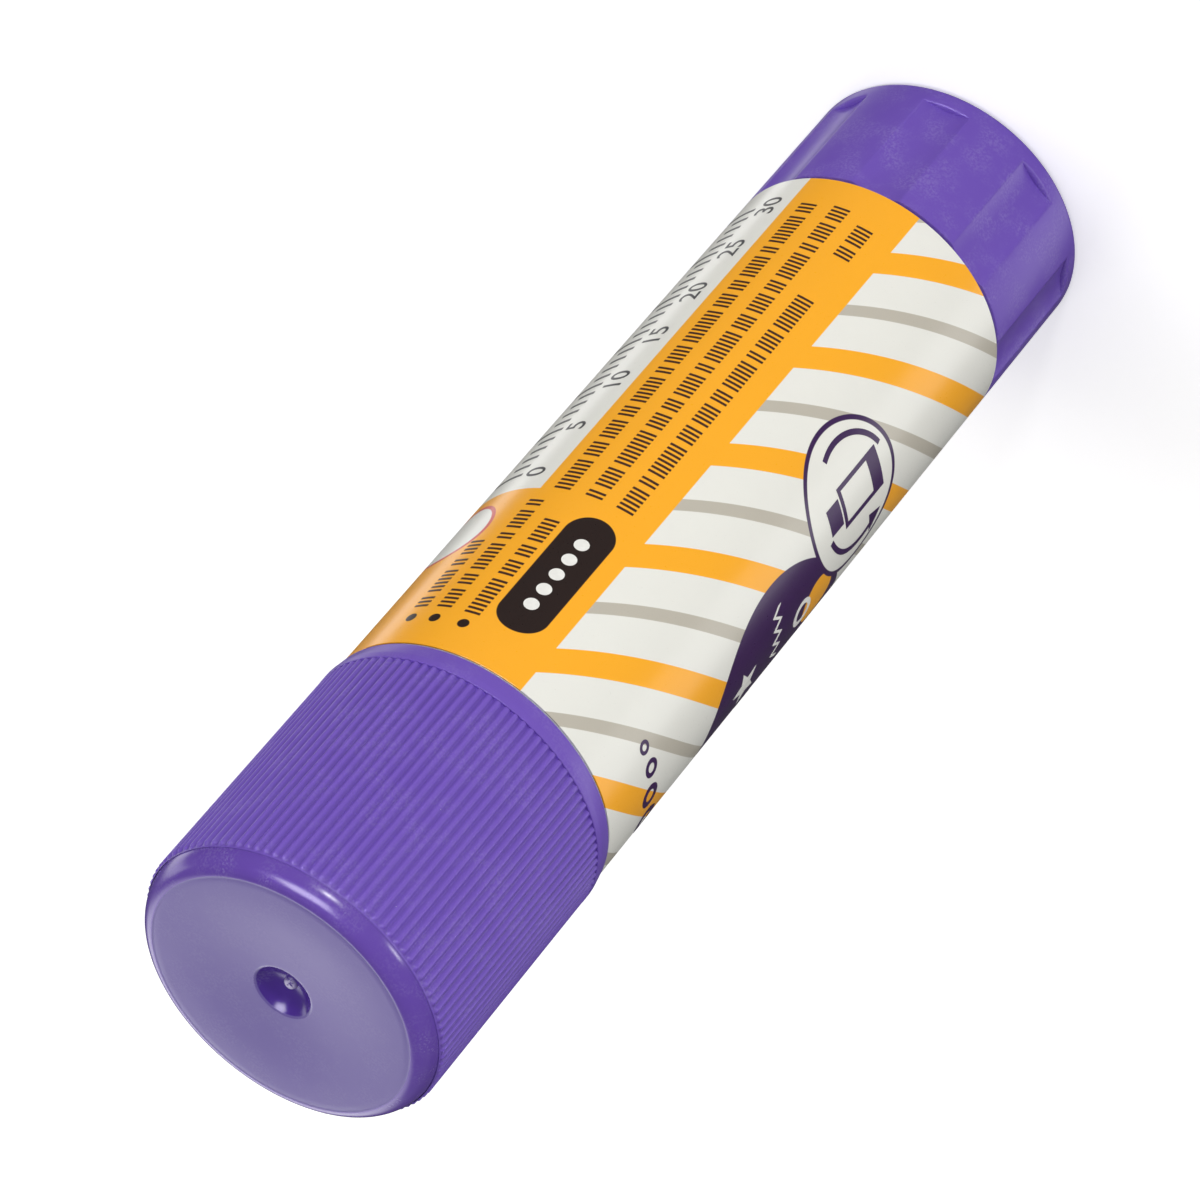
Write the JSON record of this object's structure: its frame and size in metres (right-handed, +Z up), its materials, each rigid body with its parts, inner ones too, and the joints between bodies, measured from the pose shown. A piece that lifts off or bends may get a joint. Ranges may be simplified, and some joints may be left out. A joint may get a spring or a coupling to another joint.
{
  "type": "glue stick",
  "caption": "Twist-up glue stick with a ribbed lift-off cap, a printed label round the barrel, and a fluted knob that screws the glue up.",
  "frame": {"origin": "middle of the base, where the knob stands on the table", "axes": "+Z up the stick's axis towards the cap; -Y is the side of the label that the picture shows"},
  "size_m": [0.021, 0.021, 0.084],
  "materials": {
    "barrel": "satin white polypropylene",
    "label": "printed plastic film, satin, mostly white and orange",
    "cap": "satin purple polypropylene, finely ribbed",
    "knob": "satin purple polypropylene",
    "spindle": "satin white polypropylene",
    "carrier": "satin white polypropylene",
    "glue": "waxy white glue, slightly translucent"
  },
  "bodies": {
    "barrel_body": {"barrel": "barrel", "label": "label"},
    "cap_body": {"cap": "cap"},
    "knob_body": {"knob": "knob", "spindle": "spindle"},
    "carrier_body": {"carrier": "carrier", "glue": "glue"}
  },
  "joints": [
    {"name": "cap_lift", "type": "slide", "parent": "barrel_body", "child": "cap_body", "axis": [0, 0, 1], "range_m": [0, 0.06]},
    {"name": "knob_turn", "type": "hinge", "parent": "barrel_body", "child": "knob_body", "pos_m": [0, 0, 0], "axis": [0, 0, 1], "range_deg": [0, 720]},
    {"name": "glue_rise", "type": "slide", "parent": "barrel_body", "child": "carrier_body", "axis": [0, 0, 1], "range_m": [0, 0.012]}
  ],
  "couplings": [
    {"joint": "glue_rise", "follows": "knob_turn", "m_per_rad": 0.00095493}
  ]
}
